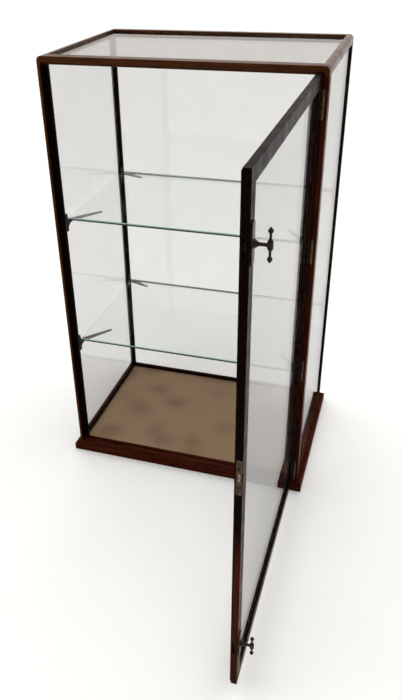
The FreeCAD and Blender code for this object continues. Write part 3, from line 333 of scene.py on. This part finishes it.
def metal(name, bright, dull, shine, pitting, metallic=1.0, wear_to=None):
    """Aged metal: clouds of patina over brighter metal, with small pits and rubbed edges."""
    mat, tree, shader = material(name, Metallic=metallic)
    at = placed(tree)
    patina = spread(tree, cloud(tree, at, 190, 6, 0.6, 0.5), 0.35, 0.66)
    pits = cloud(tree, at, 1500, 3, 0.6)
    colour = blended(tree, patina, dull, bright)
    if wear_to:
        wear = arris_wear(tree, 0.0005, at, 260)
        colour = blended(tree, wear, colour, wear_to)
    rough = spread(tree, patina, 0, 1, shine[1], shine[0])
    normal = bumped(tree, pits, pitting, 0.6)
    feed(tree, shader, Base_Color=colour, Roughness=rough, Normal=normal)
    return mat


def floor_material():
    """Plain pale paper."""
    mat, tree, shader = material("studio_floor", Specular_IOR_Level=0.1)
    tone = cloud(tree, placed(tree), 3, 4)
    shade = ramp(tree, tone, (0.3, (0.86, 0.86, 0.86)), (0.7, (0.89, 0.89, 0.89)))
    rough = spread(tree, tone, 0.3, 0.7, 0.75, 0.9)
    feed(tree, shader, Base_Color=shade, Roughness=rough)
    return mat


# ---------------------------------------------------------------- studio
def camera():
    """The camera, turned by its yaw, dip and roll."""
    data = bpy.data.cameras.new("camera")
    data.lens = CAMERA_LENS_MM
    data.shift_x, data.shift_y = CAMERA_SHIFT
    turn = Matrix.Rotation(-CAMERA_YAW, 3, "Z") @ Matrix.Rotation(math.pi / 2 - CAMERA_DIP, 3, "X")
    turn = turn @ Matrix.Rotation(CAMERA_ROLL, 3, "Z")
    made = bpy.data.objects.new("camera", data)
    made.matrix_world = Matrix.Translation(CAMERA_PLACE) @ turn.to_4x4()
    bpy.context.scene.collection.objects.link(made)
    bpy.context.scene.camera = made


def area_light(name, place, size, power, colour):
    """A round lamp that looks at the piece."""
    data = bpy.data.lights.new(name, "AREA")
    data.shape, data.size, data.energy, data.color = "DISK", size, power, colour
    lamp = bpy.data.objects.new(name, data)
    lamp.location = place
    lamp.rotation_euler = (Vector(MIDDLE) - Vector(place)).to_track_quat("-Z", "Y").to_euler()
    bpy.context.scene.collection.objects.link(lamp)


def sky_light():
    """An even, very soft light from over the piece."""
    data = bpy.data.lights.new("sky", "SUN")
    data.energy, data.angle, data.color = SKY_POWER, SKY_SPREAD, COOL_SKY
    lamp = bpy.data.objects.new("sky", data)
    lamp.rotation_euler = SKY_LEAN
    bpy.context.scene.collection.objects.link(lamp)


def world():
    """A pale room, dimmer on the side that the front looks towards."""
    made = bpy.data.worlds.new("room")
    made.use_nodes = True
    tree = made.node_tree
    at = add(tree, "ShaderNodeTexCoord").outputs["Generated"]
    part = add(tree, "ShaderNodeSeparateXYZ", {0: at})
    depth = spread(tree, part.outputs[Y], -0.7, 0.6, 0.22, 1.0)
    lift = spread(tree, part.outputs[Z], 0.1, 1.0, 0.0, 0.35)
    glow = maths(tree, "ADD", depth, lift)
    seen = add(tree, "ShaderNodeLightPath").outputs["Is Camera Ray"]
    strength = maths(tree, "MAXIMUM", glow, seen)
    back = tree.nodes["Background"]
    tree.links.new(strength, back.inputs["Strength"])
    tree.links.new(blended(tree, seen, WARM_ROOM, WHITE), back.inputs["Color"])
    bpy.context.scene.world = made


def floor():
    """A wide pale floor just under the piece."""
    mesh = bpy.data.meshes.new("floor")
    shape = bmesh.new()
    bmesh.ops.create_grid(shape, x_segments=8, y_segments=8, size=FLOOR_SIZE / 2)
    shape.to_mesh(mesh)
    shape.free()
    made = bpy.data.objects.new("floor", mesh)
    made.location.z = CAD_BOX[0].z - FLOOR_DROP
    mesh.materials.append(floor_material())
    bpy.context.scene.collection.objects.link(made)


def studio():
    """The camera, the room and the lights."""
    camera()
    world()
    floor()
    sky_light()
    for lamp in LAMPS:
        area_light(*lamp)
    view = bpy.context.scene.view_settings
    view.view_transform = "Standard"
    bpy.context.scene.cycles.transparent_max_bounces = GLASS_BOUNCES


# ---------------------------------------------------------------- pieces
def soften(node, width):
    """Closes the mesh, rounds its sharp edges a little and evens its shading, all as modifiers."""
    weld = node.modifiers.new("weld", "WELD")
    weld.merge_threshold = WELD
    bevel = node.modifiers.new("arris", "BEVEL")
    bevel.width = width
    bevel.segments = 2
    bevel.limit_method = "ANGLE"
    bevel.angle_limit = SHARP
    bevel.use_clamp_overlap = True
    even = node.modifiers.new("even_shading", "WEIGHTED_NORMAL")
    even.keep_sharp = False
    for face in node.data.polygons:
        face.use_smooth = True


def finish_node(name, mat, width=0.0):
    """One material on a CAD piece, and softened edges where a width is given."""
    node = frame["nodes"][name]
    node.data.materials.clear()
    node.data.materials.append(mat)
    if width:
        soften(node, width)


SUEDE_COLUMNS, SUEDE_ROWS = 150, 88
SUEDE_INSET = 0.0012


def suede_lining():
    """The suede laid on the base board: a thin sheet, a little wavy, its cut edges not quite flat."""
    low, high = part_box("floor_lining")
    width, length, thick = high - low
    mesh = bpy.data.meshes.new("suede_lining")
    shape = bmesh.new()
    bmesh.ops.create_grid(shape, x_segments=SUEDE_COLUMNS, y_segments=SUEDE_ROWS, size=0.5)
    for vertex in shape.verts:
        x, y = vertex.co.x, vertex.co.y
        place = Vector((x * width, y * length, 0))
        wave = 0.5 + 0.5 * noise.noise(place * 11) + 0.2 * noise.noise(place * 34)
        rim = max(abs(x), abs(y)) ** 24
        ragged = 0.0006 * noise.noise(place * 60) * (2 * max(abs(x), abs(y))) ** 12
        squeeze = 1 - SUEDE_INSET - abs(ragged)
        height = thick * (0.62 + 0.33 * min(1.0, max(0.0, wave)) - 0.05 * rim)
        vertex.co = (place.x * squeeze, place.y * squeeze, height)
    rim_edges = [edge for edge in shape.edges if edge.is_boundary]
    grown = bmesh.ops.extrude_edge_only(shape, edges=rim_edges)["geom"]
    for vertex in (item for item in grown if isinstance(item, bmesh.types.BMVert)):
        vertex.co.z = 0.0
    bmesh.ops.holes_fill(shape, edges=[edge for edge in shape.edges if edge.is_boundary], sides=0)
    bmesh.ops.recalc_face_normals(shape, faces=shape.faces)
    shape.to_mesh(mesh)
    shape.free()
    made = bpy.data.objects.new("suede_lining", mesh)
    middle = (low + high) / 2
    mesh.transform(Matrix.Translation((middle.x, middle.y, low.z)))
    for face in mesh.polygons:
        face.use_smooth = True
    mesh.materials.append(suede())
    bpy.context.scene.collection.objects.link(made)
    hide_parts("floor_lining")
    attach(made, "case")


WOOD = {
    ("warm", ACROSS): ["top_rail_front", "top_rail_back"],
    ("red", ACROSS): ["base_moulding_front", "base_moulding_back", "bottom_rail_front", "bottom_rail_back",
                      "base_board"],
    ("red", DEEP): ["base_moulding_left", "base_moulding_right", "bottom_rail_left", "bottom_rail_right"],
    ("warm", DEEP): ["top_rail_left", "top_rail_right"],
    ("red", UPRIGHT): ["front_right_post"],
    # Pieces in the "dark" tone are painted shade: the back posts and the door frame are painted near black
    # for the shade they stand in.
    ("dark", UPRIGHT): ["back_left_post", "back_right_post", "door_hinge_stile"],
    ("dark", DEEP): ["door_top_rail", "door_bottom_rail"],
}
POLISH = {"top_rail_front": 0.045, "top_rail_back": 0.12, "top_rail_left": 0.12, "top_rail_right": 0.12}
# Pieces painted towards near black along one axis of their box: the inner side of the front left post's
# front is painted shade for its rebate, and the door lock stile is painted darker from about 0.4 of its
# height up.
DARKENED_PIECES = {
    "front_left_post": ("warm", UPRIGHT, (ACROSS, 0.30, 0.40)),
    "door_lock_stile": ("red", UPRIGHT, (UPRIGHT, 0.28, 0.40)),
}
BEADS = ["back", "left", "right", "top", "door"]
HINGES = range(1, 5)
LEVELS = ["upper", "lower"]
METALS = {
    "cast_metal": ["upper_shelf_brackets", "lower_shelf_brackets", "bracket_screws"],
    "aged_brass": ["keyhole_escutcheon", "lock_faceplate", "lock_screws", "hinge_pins",
                   "door_hinge_screws", "post_hinge_screws"]
                  + [f"hinge_{number}_{side}_leaf" for number in HINGES for side in ("door", "post")],
    "dark_bronze": [f"{which}_turn_{part}" for which in LEVELS
                    for part in ("backplate", "handle", "tongue")] + ["backplate_screws"],
    "steel": ["lock_bolt", "lock_case"],
}
# name: bright and dull colours, roughness of each, depth of the pits, metallic share, rubbed colour
METAL_LOOKS = {
    "cast_metal": ((0.020, 0.019, 0.016), (0.006, 0.0055, 0.005), (0.38, 0.6), 0.0002, 0.4,
                   (0.055, 0.052, 0.045)),
    "aged_brass": ((0.110, 0.074, 0.038), (0.018, 0.012, 0.008), (0.32, 0.55), 0.00008, 0.9,
                   (0.30, 0.205, 0.10)),
    "dark_bronze": ((0.018, 0.013, 0.010), (0.006, 0.0048, 0.0042), (0.30, 0.5), 0.0001, 0.7,
                    (0.07, 0.046, 0.03)),
    "steel": ((0.33, 0.32, 0.31), (0.12, 0.11, 0.10), (0.30, 0.5), 0.00006),
}
PANE_TINT = (0.850, 0.853, 0.850)
SHELF_TINT = (0.955, 0.972, 0.965)
# Shelf front edge colours: the dark green of the glass edge, then a pale teal painted highlight of the top
# arris.
SHELF_EDGE_AND_HIGHLIGHT = ((0.0030, 0.0090, 0.0070), (0.30, 0.47, 0.43))


def dress():
    """Gives every CAD piece its finish."""
    for (tone, along), names in WOOD.items():
        for name in names:
            finish_node(name, mahogany(tone, along, None, POLISH.get(name, DULL)), ARRIS)
    # Pieces with painted darkening: painted shade on the front left post, and a darker top on the door
    # lock stile.
    for name, finish in DARKENED_PIECES.items():
        finish_node(name, mahogany(*finish), ARRIS)
    # The glazing beads get the near-black "dark" tone: painted shade.
    for side in BEADS:
        finish_node(f"{side}_glazing_beads", mahogany("dark", UPRIGHT), ARRIS / 2)
    pane = glass("clear_glass", PANE_TINT)
    for side in BEADS:
        finish_node(f"{side}_glass", pane)
    shelf = glass("shelf_glass", SHELF_TINT, SHELF_EDGE_AND_HIGHLIGHT)
    for which in LEVELS:
        finish_node(f"{which}_shelf_glass", shelf)
    for name, look in METAL_LOOKS.items():
        mat = metal(name, *look)
        for node in METALS[name]:
            finish_node(node, mat)


studio()
dress()
suede_lining()
